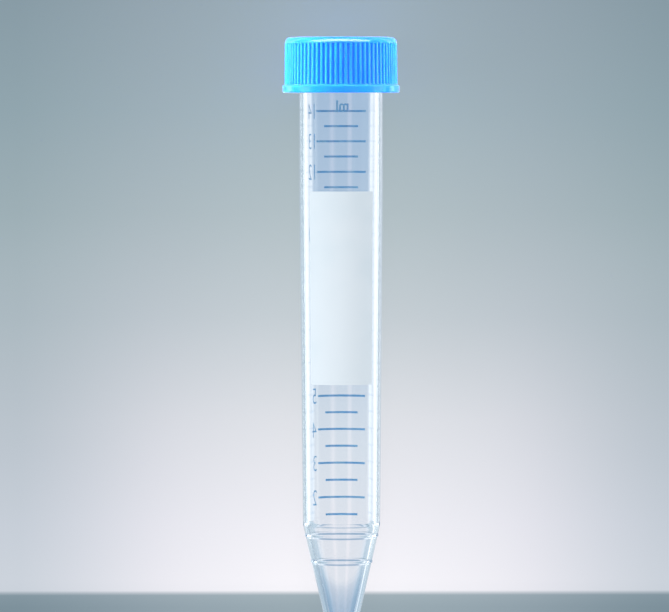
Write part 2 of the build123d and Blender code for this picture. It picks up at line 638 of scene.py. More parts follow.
@dataclass(frozen=True)
class HairMarks(Effect):
    """Sparse hairline scuffs from handling, crossing at shallow angles."""

    name: str = "hair_marks"
    inputs: tuple[Socket, ...] = (Socket("Vector", VECTOR), Socket("Width", FLOAT, 0.012))
    outputs: tuple[Socket, ...] = (Socket("Mask", FLOAT),)
    layers: tuple[tuple[float, float], ...] = ((0.35, 55.0), (-0.6, 80.0), (1.25, 65.0))
    stretch: float = 14.0
    lean: float = 0.4
    patch_scale: float = 3.0
    patches: tuple[float, float] = (0.56, 0.62)

    def wire(self, work: Wiring, given: bpy.types.Node, result: bpy.types.Node) -> None:
        """Builds thin level lines of stretched noise, broken up by a larger noise.

        Args:
            work: the group's wiring.
            given: its input node.
            result: its output node.
        """
        total: object = 0.0
        for turn, scale in self.layers:
            place = work.fill(
                work.node("ShaderNodeMapping"),
                Vector=given.outputs["Vector"],
                Location=(turn, scale, -turn),
                Rotation=(turn, self.lean * turn, turn),
                Scale=(self.stretch, 1.0, self.stretch),
            ).outputs[0]
            noise = work.node("ShaderNodeTexNoise")
            work.fill(noise, Vector=place, Scale=scale, Detail=1.0)
            away = work.math("ABSOLUTE", work.math("SUBTRACT", noise.outputs["Fac"], 0.5))
            line = work.math("LESS_THAN", away, given.outputs["Width"])
            patch = work.node("ShaderNodeTexNoise")
            work.fill(patch, Vector=given.outputs["Vector"], Scale=self.patch_scale * scale)
            keep = work.steps(patch.outputs["Fac"], *self.patches)
            total = work.math("MAXIMUM", total, work.math("MULTIPLY", line, keep))
        work.feed(result.inputs["Mask"], total)


GRAIN, MARKS = MouldGrain(), HairMarks()


@dataclass(frozen=True)
class SurfaceFinish:
    """A finish: a named material in two shades that drift into each other, with a fine grain."""

    slot: Finish
    colour: Colour
    second: Colour
    drift_range: tuple[float, float] = (0.35, 0.65)
    fine_scale: float = 2500.0
    drift_scale: float = 120.0
    roughness: float = 0.4
    unevenness: float = 0.2
    relief_depth: float = 0.00001
    relief_share: float = 0.5

    def grain(self, work: Wiring) -> tuple[bpy.types.NodeSocket, bpy.types.Node]:
        """The piece's own coordinates, and the node of the grain on them."""
        place = work.node("ShaderNodeTexCoord").outputs["Object"]
        scales = {"Fine_Scale": self.fine_scale, "Drift_Scale": self.drift_scale}
        return place, GRAIN.placed(work, Vector=place, **scales)

    def shades(self, work: Wiring, grain: bpy.types.Node) -> bpy.types.NodeSocket:
        """Colour that drifts between the two shades."""
        share = work.steps(grain.outputs["Drift"], *self.drift_range)
        return work.blend(share, self.colour, self.second)

    def uneven(self, work: Wiring, value: object) -> bpy.types.NodeSocket:
        """Roughness that rises with a value."""
        return work.math("MULTIPLY_ADD", value, self.unevenness, self.roughness)

    def relief(self, work: Wiring, shader: bpy.types.Node, height: object) -> None:
        """Gives the surface a fine relief.

        Args:
            work: the material's wiring.
            shader: its Principled shader.
            height: the relief's height, from 0 to 1.
        """
        bump = work.node("ShaderNodeBump")
        work.fill(bump, Height=height, Distance=self.relief_depth, Strength=self.relief_share)
        work.fill(shader, Normal=bump.outputs["Normal"])

    def wire(self, work: Wiring, shader: bpy.types.Node) -> None:
        """Wires the shades by the drift, and polish and relief by the fine grain.

        Args:
            work: the material's wiring.
            shader: its Principled shader.
        """
        grain = self.grain(work)[1]
        fine = grain.outputs["Fine"]
        work.fill(shader, Base_Color=self.shades(work, grain), Roughness=self.uneven(work, fine))
        self.relief(work, shader, fine)

    def surface(self, work: Wiring, shader: bpy.types.Node) -> bpy.types.NodeSocket:
        """What goes to the material's surface, the shader itself unless a finish mixes it."""
        return shader.outputs[0]

    def material(self) -> bpy.types.Material:
        """Finds the material, or builds it once.

        Returns:
            The material.
        """
        name = f"{self.slot.value}_finish"
        found = bpy.data.materials.get(name)
        if found:
            return found
        made = bpy.data.materials.new(name)
        made.use_nodes = True
        work = Wiring(made.node_tree)
        shader = made.node_tree.nodes["Principled BSDF"]
        self.wire(work, shader)
        output = made.node_tree.nodes["Material Output"]
        work.feed(output.inputs["Surface"], self.surface(work, shader))
        return made

    def dress(self, piece: bpy.types.Object) -> None:
        """Gives a piece this finish alone.

        Args:
            piece: the mesh.
        """
        piece.data.materials.clear()
        piece.data.materials.append(self.material())
        for face in piece.data.polygons:
            face.material_index = 0


@dataclass(frozen=True)
class ClearWallFinish(SurfaceFinish):
    """Clear moulded polystyrene, polished, with faint flow waves and handling marks.

    Its colour deepens towards the tip, where the plastic is thick, as painted shade that stands in
    for the darker backdrop seen through the cone. That starts at the first height of
    tip_reach and is full at the second, and both are higher towards the sides.
    """

    slot: Finish = Finish.CLEAR_WALL
    colour: Colour = (0.955, 0.98, 1.0)
    second: Colour = (0.94407, 0.97506, 1.0)
    drift_scale: float = 60.0
    roughness: float = 0.0
    unevenness: float = 0.07
    relief_share: float = 1.0
    tip: tuple[float, ...] = (0.0, 0.0, 0.0)
    along: tuple[float, ...] = (0.0, 0.0, 1.0)
    index: float = 1.59
    mark_width: float = 0.006
    tip_tint: Colour = (0.69, 0.785, 0.87)
    tip_reach: tuple[float, float] = (10.7, 5.5)
    tip_arc: float = 170.0
    tip_onset: float = 0.55
    most_turns: float = 3.5
    shadow: Colour = (0.93, 0.95, 0.97)

    def wire(self, work: Wiring, shader: bpy.types.Node) -> None:
        """Wires colour with the painted shade at the tip, polish and waves.

        Args:
            work: the material's wiring.
            shader: its Principled shader.
        """
        place, grain = self.grain(work)
        marks = MARKS.placed(work, Vector=place, Width=self.mark_width)
        # Painted shade: the colour deepens towards the tip, and higher up towards the sides, for
        # the darker backdrop seen through the cone.
        rise = work.vector("SUBTRACT", place, self.tip)
        height = work.vector("DOT_PRODUCT", rise, self.along)
        side = work.parts(place)["X"]
        arc = work.math("MULTIPLY", work.math("POWER", side, 2.0), self.tip_arc)
        high, low = (level * MM for level in self.tip_reach)
        thick = work.steps(work.math("SUBTRACT", height, arc), high, low, smooth=False)
        thick = work.math("POWER", thick, self.tip_onset)
        work.fill(
            shader,
            Base_Color=work.blend(thick, self.shades(work, grain), self.tip_tint),
            Roughness=self.uneven(work, marks.outputs["Mask"]),
            Transmission_Weight=1.0,
            IOR=self.index,
        )
        self.relief(work, shader, grain.outputs["Drift"])

    def surface(self, work: Wiring, shader: bpy.types.Node) -> bpy.types.NodeSocket:
        """Lets light through to what lies behind the wall, so that it casts a light shadow.

        Light that has turned many times inside the wall leaves it too.

        Args:
            work: the material's wiring.
            shader: its Principled shader.

        Returns:
            The mixed surface.
        """
        through = work.flat("ShaderNodeBsdfTransparent", self.shadow)
        path = work.node("ShaderNodeLightPath").outputs
        caught = work.math("GREATER_THAN", path["Glossy Depth"], self.most_turns)
        share = work.math("MAXIMUM", caught, path["Is Shadow Ray"])
        return work.mix_shaders(share, shader.outputs[0], through)


@dataclass(frozen=True)
class CapFinish(SurfaceFinish):
    """Blue moulded polyethylene, glossy on the ribs, with light inside it and a soft sheen."""

    slot: Finish = Finish.BLUE_CAP
    colour: Colour = (0.008, 0.215, 0.88)
    second: Colour = (0.01, 0.24, 0.92)
    drift_range: tuple[float, float] = (0.3, 0.7)
    fine_scale: float = 3200.0
    drift_scale: float = 180.0
    roughness: float = 0.14
    unevenness: float = 0.12
    relief_depth: float = 0.000012
    mark_width: float = 0.01
    mark_roughness: float = 0.06
    index: float = 1.45
    spread: float = 0.0032
    spread_of_colours: Colour = (0.15, 0.55, 1.0)
    sheen: float = 0.3
    sheen_roughness: float = 0.3

    def wire(self, work: Wiring, shader: bpy.types.Node) -> None:
        """Wires colour, gloss, marks and fine grain, and sets the light inside.

        Args:
            work: the material's wiring.
            shader: its Principled shader.
        """
        place, grain = self.grain(work)
        marks = MARKS.placed(work, Vector=place, Width=self.mark_width)
        polish = self.uneven(work, grain.outputs["Drift"])
        polish = work.math("MULTIPLY_ADD", marks.outputs["Mask"], self.mark_roughness, polish)
        work.fill(
            shader,
            Base_Color=self.shades(work, grain),
            Roughness=polish,
            IOR=self.index,
            Subsurface_Weight=1.0,
            Subsurface_Radius=self.spread_of_colours,
            Subsurface_Scale=self.spread,
            Sheen_Weight=self.sheen,
            Sheen_Roughness=self.sheen_roughness,
        )
        self.relief(work, shader, grain.outputs["Fine"])


@dataclass(frozen=True)
class SealFinish(SurfaceFinish):
    """Soft foamed liner, off-white and dull, with fine closed cells."""

    slot: Finish = Finish.SOFT_SEAL
    colour: Colour = (0.8, 0.82, 0.83)
    second: Colour = (0.7, 0.73, 0.75)
    fine_scale: float = 1800.0
    drift_scale: float = 220.0
    roughness: float = 0.55
    relief_depth: float = 0.00004
    relief_share: float = 0.4
    cell_scale: float = 2600.0

    def wire(self, work: Wiring, shader: bpy.types.Node) -> None:
        """Wires cells, colour and dullness.

        Args:
            work: the material's wiring.
            shader: its Principled shader.
        """
        place, grain = self.grain(work)
        cells = work.node("ShaderNodeTexVoronoi", feature="DISTANCE_TO_EDGE")
        work.fill(cells, Vector=place, Scale=self.cell_scale)
        work.fill(
            shader,
            Base_Color=work.blend(grain.outputs["Drift"], self.colour, self.second),
            Roughness=self.uneven(work, grain.outputs["Fine"]),
        )
        self.relief(work, shader, cells.outputs["Distance"])


@dataclass(frozen=True)
class PanelInkFinish(SurfaceFinish):
    """Opaque white writing ink, screen printed, dull enough to take a pencil."""

    slot: Finish = Finish.WHITE_INK
    colour: Colour = (0.745, 0.83, 0.88)
    second: Colour = (0.70, 0.80, 0.855)
    drift_range: tuple[float, float] = (0.35, 0.75)
    fine_scale: float = 5200.0
    drift_scale: float = 90.0
    roughness: float = 0.42
    unevenness: float = 0.18
    relief_depth: float = 0.000008


@dataclass(frozen=True)
class LineInkFinish(SurfaceFinish):
    """Blue scale ink, thin enough to let light through, denser in some places than in others."""

    slot: Finish = Finish.BLUE_INK
    colour: Colour = (0.17, 0.52, 0.88)
    second: Colour = (0.34, 0.69, 0.95)
    drift_range: tuple[float, float] = (0.42, 0.68)
    fine_scale: float = 2400.0
    drift_scale: float = 420.0
    roughness: float = 0.3
    relief_depth: float = 0.000006
    relief_share: float = 0.4
    clearness: float = 0.7
    index: float = 1.25

    def wire(self, work: Wiring, shader: bpy.types.Node) -> None:
        """Wires the ink's density and its satin polish, and sets how clear it is.

        Args:
            work: the material's wiring.
            shader: its Principled shader.
        """
        super().wire(work, shader)
        work.fill(shader, Transmission_Weight=self.clearness, IOR=self.index)


# --- Tube ---


@dataclass
class ClearTube:
    """The moulded tube: its wall with rings, shoulder and rim, and its screw thread."""

    cradle: Cradle
    sizes: TubeSizes = field(default_factory=TubeSizes)
    thread: ThreadSizes = field(default_factory=ThreadSizes)
    steps: int = 256
    arc_steps: int = 14
    bead_steps: int = 8
    brace: float = 0.06
    long_run: float = 0.6
    piece: bpy.types.Object | None = None

    @staticmethod
    def arc(centre: Point, radius: float, start: float, end: float, steps: int) -> list[Point]:
        """Points along an arc of the outline.

        Args:
            centre: radius and height of its centre.
            radius: its radius.
            start: first angle, in radians from straight outwards.
            end: last angle.
            steps: number of steps.

        Returns:
            The points, both ends included.
        """
        turn = (end - start) / steps
        return [
            (
                centre[0] + radius * math.cos(start + turn * step),
                centre[1] + radius * math.sin(start + turn * step),
            )
            for step in range(steps + 1)
        ]

    def beads(self) -> list[Point]:
        """Outline of the rings on the cone, from the lower to the upper, as soft swells."""
        size = self.sizes
        slope = size.cone_slope
        points: list[Point] = []
        for volume in size.ring_volumes:
            middle = size.fill_height(volume)
            for step in range(-self.bead_steps, self.bead_steps + 1):
                share = step / self.bead_steps
                height = middle + share * size.ring_half_width
                swell = size.ring_stand_out * (0.5 + 0.5 * math.cos(math.pi * share))
                points.append(
                    (
                        size.cone_radius(height) + swell * math.cos(slope),
                        height - swell * math.sin(slope),
                    )
                )
        return points

    def shoulder(self) -> list[Point]:
        """Outline of the rounded shoulder between cone and body."""
        size = self.sizes
        middle = (size.cone_slope + size.body_slope) / 2
        turn = (size.cone_slope - size.body_slope) / 2
        depth = size.shoulder_rounding / math.cos(turn)
        centre = (
            size.shoulder_radius - depth * math.cos(middle),
            size.shoulder_height + depth * math.sin(middle),
        )
        return self.arc(
            centre, size.shoulder_rounding, -size.cone_slope, -size.body_slope, self.arc_steps
        )

    def rim(self) -> list[Point]:
        """Outline of the rim, rounded outside and inside."""
        size = self.sizes
        outer, inner, turn = size.neck_radius - size.finish_draft, size.bore_rim_radius, math.pi / 2
        edge, level = size.rim_rounding, size.length - size.rim_rounding
        return [
            *self.arc((outer - edge, level), edge, 0, turn, self.bead_steps),
            *self.arc((inner + edge, level), edge, turn, 2 * turn, self.bead_steps),
        ]

    def braced(self, outline: list[Point]) -> list[Point]:
        """Adds a point near both ends of each long straight run, so that it shades straight.

        Args:
            outline: the outline.

        Returns:
            The outline with those points.
        """
        points = [outline[0]]
        for here, there in zip(outline, outline[1:]):
            run = math.dist(here, there)
            if run > self.long_run:
                for share in (self.brace / run, 1 - self.brace / run):
                    points.append(tuple(a + (b - a) * share for a, b in zip(here, there)))
            points.append(there)
        return points

    def outline(self) -> list[Point]:
        """Whole outline of the wall, from the tip's outside to its inside."""
        size = self.sizes
        centre, quarter = (0.0, size.tip_radius), -math.pi / 2
        bore = self.arc(
            centre, size.bore_tip_radius, -size.bore_cone_slope, quarter, self.arc_steps
        )
        return self.braced(
            [
                *self.arc(centre, size.tip_radius, quarter, -size.cone_slope, self.arc_steps),
                *self.beads(),
                *self.shoulder(),
                (size.neck_radius, size.neck_foot),
                (size.neck_radius, size.cap_edge),
                *self.rim(),
                (size.bore_shoulder_radius, size.bore_shoulder_height),
                *bore,
            ]
        )

    def ridge(self) -> bpy.types.Object:
        """Screws the thread's section round the neck.

        Returns:
            The ridge as a closed mesh that bites into the wall.
        """
        size, root = self.thread, self.sizes.neck_radius
        Bench.clear()
        bpy.ops.mesh.primitive_plane_add(size=1.0, rotation=(math.pi / 2, 0, 0))
        section = bpy.context.object
        Bench.freeze(section)
        for corner in section.data.vertices:
            crest = corner.co.x > 0
            radius = root + (size.depth if crest else -size.bite)
            half_width = (size.crest_width if crest else size.root_width) / 2
            height = size.start_height + math.copysign(half_width, corner.co.z)
            corner.co = Vector((radius * MM, 0.0, height * MM))
        steps = round(size.steps_per_turn * size.turns)
        Bench.apply(
            section,
            "SCREW",
            angle=math.tau * size.turns,
            screw_offset=size.pitch * size.turns * MM,
            steps=steps,
            render_steps=steps,
            use_merge_vertices=False,
        )
        with Bench.editing(section):
            bpy.ops.mesh.remove_doubles(threshold=Bench.MERGE)
            bpy.ops.mesh.fill_holes(sides=4)
            bpy.ops.mesh.select_all(action="SELECT")
            bpy.ops.mesh.normals_make_consistent(inside=False)
        return section

    def build(self) -> bpy.types.Object:
        """Turns the wall and adds the thread, both upright.

        Returns:
            The tube's wall.
        """
        wall = Bench.turned("tube_wall", self.outline(), self.steps)
        ridge = self.ridge()
        Bench.apply(wall, "BOOLEAN", operation="UNION", solver="EXACT", object=ridge)
        bpy.data.objects.remove(ridge)
        Bench.smooth(wall)
        self.piece = wall
        return wall

    def settle(self) -> None:
        """Lays the wall down, dresses it and lets it stand for the tube."""
        self.cradle.lay(self.piece)
        finish = ClearWallFinish(tip=tuple(self.cradle.tip), along=tuple(self.cradle.along))
        finish.dress(self.piece)
        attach(self.piece, "tube")
        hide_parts("tube")


# --- Printing ---


@dataclass
class Printing:
    """Ink on the tube: writing panel, scale lines, their numerals and the unit.

    Lettering is cut into strips, and is wrapped on the wall from a lift above it, both in
    millimetres.
    """

    cradle: Cradle
    wall: bpy.types.Object
    tube: TubeSizes = field(default_factory=TubeSizes)
    sizes: PrintSizes = field(default_factory=PrintSizes)
    panel_finish: PanelInkFinish = field(default_factory=PanelInkFinish)
    line_finish: LineInkFinish = field(default_factory=LineInkFinish)
    step_angle: float = 1.5
    strip: float = 0.25
    curve_steps: int = 6
    merge: float = 1e-4
    lift: float = 1.0

    def film(self, low: float, high: float, side: Side, half_angle: float) -> bpy.types.Object:
        """Makes a closed film of ink between two heights.

        Args:
            low: its lower edge.
            high: its upper edge.
            side: the side that it is centred on.
            half_angle: how far it reaches to each side, in degrees.

        Returns:
            The film, upright, on the wall.
        """
        heights = sorted({low, min(max(low, self.tube.neck_foot), high), high})
        outline = [(self.tube.body_radius(height) - self.sizes.sunk, height) for height in heights]
        sheet = Bench.turned(
            "film",
            outline,
            round(2 * half_angle / self.step_angle),
            start=side.value + half_angle,
            sweep=2 * half_angle,
        )
        Bench.face_outwards(sheet)
        Bench.apply(sheet, "SOLIDIFY", thickness=self.sizes.thickness * MM, offset=1.0)
        return sheet

    def letters(self, words: str, shape: Lettering) -> tuple[bpy.types.Object, float]:
        """Makes flat lettering, cut into strips so that it can bend.

        Args:
            words: what it reads.
            shape: the shape of the letters.

        Returns:
            The lettering, with its middle at the origin, and its width in millimetres.
        """
        Bench.clear()
        bpy.ops.object.text_add()
        letters = bpy.context.object
        letters.data.body = words
        letters.data.size = 1.0
        letters.data.resolution_u = self.curve_steps
        letters.data.offset = shape.weight
        bpy.ops.object.convert(target="MESH")
        letters = bpy.context.object
        xs = [vertex.co.x for vertex in letters.data.vertices]
        ys = [vertex.co.y for vertex in letters.data.vertices]
        scale = shape.height / (max(ys) - min(ys))
        width = (max(xs) - min(xs)) * scale * shape.narrow
        with Bench.editing(letters):
            bpy.ops.mesh.remove_doubles(threshold=self.merge)
            bpy.ops.transform.translate(
                value=(-(max(xs) + min(xs)) / 2, -(max(ys) + min(ys)) / 2, 0.0)
            )
            bpy.ops.transform.resize(
                value=(scale * shape.narrow * MM, scale * MM, MM), center_override=(0, 0, 0)
            )
            for cut in range(1, math.ceil(width / self.strip)):
                bpy.ops.mesh.select_all(action="SELECT")
                bpy.ops.mesh.bisect(
                    plane_co=((-width / 2 + cut * self.strip) * MM, 0, 0), plane_no=(1, 0, 0)
                )
        return letters, width

    def text(self, words: str, shape: Lettering, height: float, angle: float) -> bpy.types.Object:
        """Makes lettering and wraps it on the wall.

        Args:
            words: what it reads.
            shape: the shape of the letters.
            height: height of the lettering's middle above the tip.
            angle: angle about the axis of its left edge, in degrees from +X.

        Returns:
            The lettering as a closed film, upright, on the wall.
        """
        letters, width = self.letters(words, shape)
        radius = self.tube.body_radius(height)
        middle = math.radians(angle) + width / 2 / radius
        outward = Vector((math.cos(middle), math.sin(middle), 0.0))
        reading = Vector((-math.sin(middle), math.cos(middle), 0.0))
        turn = Matrix((reading, Vector((0, 0, 1)), outward)).transposed().to_4x4()
        foot = outward * (radius + self.lift) * MM + Vector((0, 0, height * MM))
        letters.matrix_world = Matrix.Translation(foot) @ turn
        Bench.apply(
            letters,
            "SHRINKWRAP",
            target=self.wall,
            wrap_method="PROJECT",
            use_project_z=True,
            use_negative_direction=True,
            use_positive_direction=False,
            offset=0.0,
        )
        Bench.freeze(letters)
        Bench.face_outwards(letters)
        size = self.sizes
        share = 2 * size.sunk / size.thickness
        Bench.apply(letters, "SOLIDIFY", thickness=size.thickness * MM, offset=1.0 - share)
        return letters

    def panel(self) -> bpy.types.Object:
        """Prints the writing panel."""
        size = self.sizes
        film = self.film(size.panel_low, size.panel_high, Side.WRITING, size.panel_half_angle)
        return Bench.named(film, "panel_film")

    def lines(self) -> bpy.types.Object:
        """Prints the scale's lines, a long one at each whole millilitre."""
        size = self.sizes
        films = []
        for step in range(round((size.last_ml - size.first_ml) / size.step_ml) + 1):
            volume = size.first_ml + step * size.step_ml
            height = self.tube.fill_height(volume)
            reach = size.long_half_angle if volume == round(volume) else size.short_half_angle
            low, high = height - size.line_width / 2, height + size.line_width / 2
            films.append(self.film(low, high, Side.SCALE, reach))
        return Bench.join("scale_films", films)

    def numerals(self) -> bpy.types.Object:
        """Prints a number beside each long line."""
        size = self.sizes
        start = Side.SCALE.value + size.long_half_angle + size.numeral_gap_angle
        volumes = range(math.ceil(size.first_ml), round(size.last_ml) + 1)
        return Bench.join(
            "scale_numerals",
            [
                self.text(str(volume), size.numeral, self.tube.fill_height(volume), start)
                for volume in volumes
            ],
        )

    def unit(self) -> bpy.types.Object:
        """Prints the unit over the top line."""
        size = self.sizes
        height = self.tube.fill_height(size.last_ml) + size.unit.height / 2 + size.unit_rise
        reach = math.degrees(size.unit_reach / self.tube.body_radius(height))
        mark = self.text("ml", size.unit, height, Side.SCALE.value - reach)
        return Bench.named(mark, "scale_unit")

    def build(self) -> list[bpy.types.Object]:
        """Prints everything, lays it down with the tube and dresses it.

        Returns:
            The printed pieces.
        """
        made = []
        for piece, finish, node in (
            (self.panel(), self.panel_finish, "writing_panel"),
            (self.lines(), self.line_finish, "scale_lines"),
            (self.numerals(), self.line_finish, None),
            (self.unit(), self.line_finish, None),
        ):
            Bench.smooth(piece)
            self.cradle.lay(piece)
            finish.dress(piece)
            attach(piece, "tube")
            if node:
                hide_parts(node)
            made.append(piece)
        return made


# --- Cap ---


@dataclass
class ScrewCap:
    """The ribbed screw cap and the liner in its roof, kept as the model has them."""

    nodes: dict[str, bpy.types.Object]
    finish: CapFinish = field(default_factory=CapFinish)
    seal_finish: SealFinish = field(default_factory=SealFinish)

    def build(self) -> list[bpy.types.Object]:
        """Dresses the cap and its liner.

        Returns:
            The two pieces.
        """
        cap, seal = self.nodes["cap"], self.nodes["cap_seal"]
        self.finish.dress(cap)
        self.seal_finish.dress(seal)
        return [cap, seal]


# --- Studio ---


class Role(Enum):
    """What a lamp is for."""

    ROOM = "lights the whole object"
    CAP = "lights the cap alone"
    SHEEN = "shines in the cap's gloss alone"


@dataclass(frozen=True)
class Lamp:
    """A soft lamp on the upright bench, in metres and watts, aimed at a level on the axis."""

    name: str
    place: tuple[float, float, float]
    aim: float
    size: tuple[float, float]
    power: float
    role: Role = Role.CAP


@dataclass(frozen=True)
class Tones:
    """Colours by a length in millimetres, from the greatest length to the least."""

    stops: tuple[tuple[float, Colour], ...]

    def at(self, work: Wiring, length: object) -> bpy.types.NodeSocket:
        """Wires the colour at a length.

        Args:
            work: the tree's wiring.
            length: the length in millimetres.

        Returns:
            The colour.
        """
        high, low = self.stops[0][0], self.stops[-1][0]
        share = work.steps(length, high, low, smooth=False)
        return work.ramp(
            share, [((high - level) / (high - low), colour) for level, colour in self.stops]
        )


class Stretch(Enum):
    """Lengths that soft boxes cover along the tube, from foot to head, as sines of the angle."""

    WHOLE = (-2.0, 2.0)
    CONE = (-2.0, -0.125)
    BODY = (-0.115, 2.0)
    NEAR_END = (-2.0, -0.2)
    FAR_END = (-0.2, 2.0)


class Seen(Enum):
    """How a soft box is seen."""

    ALWAYS = "always"
    STRAIGHT_THROUGH = "only through clear plastic, by light that it never mirrored"
    MIRRORED = "only by light that a surface mirrored"


@dataclass(frozen=True)
class SoftBox:
    """A soft box as gloss and clear plastic see it.

    Its edges are angles about the tube in degrees, from straight down and positive to the
    right. They fade over an angle, and the box's ends fade over a part of the sine.
    """

    start: float
    end: float
    colour: Colour
    stretch: Stretch = Stretch.WHOLE
    seen: Seen = Seen.ALWAYS
    soft_edge: float = 2.0
    soft_end: float = 0.02

    def mask(
        self, work: Wiring, turn: bpy.types.NodeSocket, along: bpy.types.NodeSocket
    ) -> bpy.types.NodeSocket:
        """Where the box shows.

        Args:
            work: the tree's wiring.
            turn: the angle about the tube.
            along: the direction's part along the tube.

        Returns:
            The mask.
        """
        foot, head = self.stretch.value
        mask: object = 1.0
        for value, edge, soft in (
            (turn, self.start, self.soft_edge),
            (turn, self.end, -self.soft_edge),
            (along, foot, self.soft_end),
            (along, head, -self.soft_end),
        ):
            mask = work.math("MULTIPLY", mask, work.steps(value, edge - soft, edge + soft))
        tests = {Seen.STRAIGHT_THROUGH: "LESS_THAN", Seen.MIRRORED: "GREATER_THAN"}
        if self.seen in tests:
            mirrored = work.node("ShaderNodeLightPath").outputs["Glossy Depth"]
            mask = work.math("MULTIPLY", mask, work.math(tests[self.seen], mirrored, 0.5))
        return mask


WHITE = (1.0, 1.0, 1.0)

# The floor's colour by height above the tip, with painted shade: darker with height towards the cap
# and beyond it, and a dark band just past the tip.
FLOOR_TONES = Tones(
    (
        (128.0, (0.343, 0.428, 0.477)),
        (106.0, (0.392, 0.487, 0.530)),
        (85.0, (0.471, 0.554, 0.585)),
        (64.0, (0.590, 0.648, 0.685)),
        (43.0, (0.773, 0.790, 0.829)),
        (22.0, (0.905, 0.898, 0.945)),
        (11.0, (0.960, 0.945, 0.985)),
        (8.6, (0.94, 0.93, 0.97)),
        (8.2, (0.375, 0.455, 0.50)),
        (5.5, (0.33, 0.41, 0.455)),
    )
)

# Painted shade that the floor's colour is multiplied by, darker with distance from the tube's axis
# to either side.
SIDE_SHADE = Tones(((65.0, (0.72, 0.77, 0.79)), (38.0, (0.87, 0.88, 0.9)), (10.0, WHITE)))

# What gloss and clear plastic see behind the tube, by height above the tip.
BACKDROP_TONES = Tones(
    (
        (128.0, (0.37, 0.48, 0.62)),
        (105.0, (0.42, 0.55, 0.71)),
        (85.0, (0.48, 0.60, 0.74)),
        (64.0, (0.62, 0.70, 0.79)),
        (42.0, (0.83, 0.85, 0.88)),
        (22.0, (0.93, 0.90, 0.91)),
        (-280.0, (0.90, 0.88, 0.91)),
        (-360.0, (0.40, 0.51, 0.60)),
    )
)

# A later box covers the ones before it.
BOXES = (
    SoftBox(-36.0, -11.0, (0.60, 0.72, 0.80), Stretch.CONE),
    SoftBox(11.0, 38.0, (0.60, 0.72, 0.80), Stretch.CONE),
    SoftBox(40.0, 62.0, (0.85, 0.98, 1.05)),
    SoftBox(-32.0, -3.0, (0.54, 0.64, 0.71), Stretch.BODY, Seen.MIRRORED),
    SoftBox(3.0, 32.0, (0.63, 0.70, 0.76), Stretch.BODY, Seen.MIRRORED),
    SoftBox(-50.0, -30.0, (0.46, 0.58, 0.67), Stretch.BODY),
    SoftBox(30.0, 50.0, (0.50, 0.60, 0.69), Stretch.BODY),
    SoftBox(-66.0, -50.0, (3.8, 3.9, 4.0), Stretch.BODY),
    SoftBox(50.0, 66.0, (3.8, 3.9, 4.0), Stretch.BODY),
    SoftBox(-18.0, -10.0, (0.95, 1.0, 1.06), Stretch.BODY, Seen.STRAIGHT_THROUGH),
    SoftBox(10.0, 18.0, (0.95, 1.0, 1.06), Stretch.BODY, Seen.STRAIGHT_THROUGH),
    SoftBox(-40.0, -18.0, (1.2, 1.22, 1.25), Stretch.BODY, Seen.STRAIGHT_THROUGH),
    SoftBox(18.0, 40.0, (1.2, 1.22, 1.25), Stretch.BODY, Seen.STRAIGHT_THROUGH),
    SoftBox(-62.0, -36.0, (0.45, 0.56, 0.65), Stretch.NEAR_END),
    SoftBox(36.0, 62.0, (0.72, 0.80, 0.87), Stretch.NEAR_END),
    SoftBox(44.0, 52.0, (1.35, 1.45, 1.5), Stretch.NEAR_END),
    SoftBox(-110.0, -78.0, (0.42, 0.56, 0.7), Stretch.FAR_END),
    SoftBox(80.0, 92.0, (1.7, 1.8, 1.9), Stretch.FAR_END),
    SoftBox(-158.0, -146.0, (0.83, 0.75, 0.85)),
    SoftBox(148.0, 162.0, (0.78, 0.72, 0.80)),
)

LAMPS = (
    Lamp("left", (-0.75, -0.32, 0.08), 0.07, (0.5, 0.5), 2.6, Role.ROOM),
    Lamp("right", (0.75, -0.25, 0.08), 0.07, (0.4, 0.4), 0.8, Role.ROOM),
    Lamp("cap_left", (-0.3, -0.06, 0.15), 0.115, (0.2, 0.12), 2.8),
    Lamp("cap_front", (-0.3, -0.18, 0.13), 0.115, (0.2, 0.2), 0.25),
    Lamp("cap_right", (0.3, -0.035, 0.13), 0.115, (0.06, 0.05), 1.6),
    Lamp("cap_beyond", (0.0, -0.04, 0.42), 0.118, (0.2, 0.06), 1.3),
    Lamp("sheen_left", (-0.4, -0.1, 0.13), 0.115, (0.2, 0.2), 0.35, Role.SHEEN),
    Lamp("sheen_right", (0.4, -0.1, 0.13), 0.115, (0.1, 0.2), 0.15, Role.SHEEN),
    Lamp("sheen_top", (0.0, -0.25, 0.4), 0.118, (1.1, 0.3), 18.0, Role.SHEEN),
)


